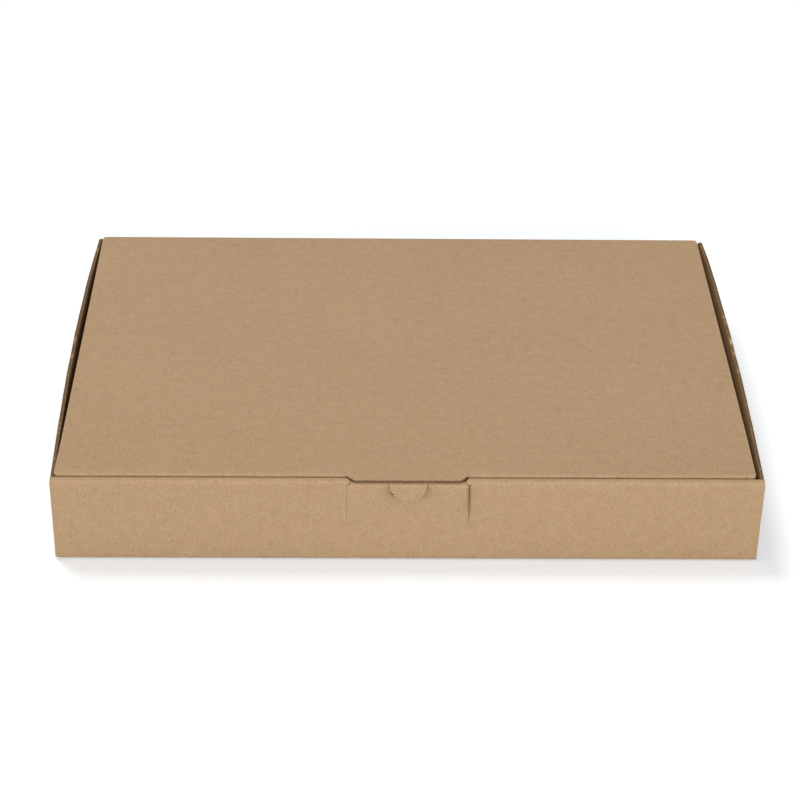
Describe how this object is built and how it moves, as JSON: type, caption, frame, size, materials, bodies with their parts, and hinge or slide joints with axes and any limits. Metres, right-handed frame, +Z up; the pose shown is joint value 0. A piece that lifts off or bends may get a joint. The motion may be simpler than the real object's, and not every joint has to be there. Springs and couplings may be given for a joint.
{
  "type": "flat mailer box",
  "caption": "Flat die-cut mailer box of brown corrugated board with a rolled front wall, a hinged tuck-in lid and a thumb tab.",
  "frame": {"origin": "middle of the footprint, on the surface that the floor rests on", "axes": "+X to the right along the long side, +Y towards the lid's crease, +Z up; the thumb tab faces -Y"},
  "size_m": [0.3556, 0.25, 0.047],
  "materials": {
    "board": "matt brown kraft liner"
  },
  "bodies": {
    "tray": {"tray": "board"},
    "lid": {"lid": "board"}
  },
  "joints": [
    {"name": "lid_crease", "type": "hinge", "parent": "tray", "child": "lid", "pos_m": [0, 0.12425, 0.04625], "axis": [-1, 0, 0], "range_deg": [0, 175]}
  ]
}
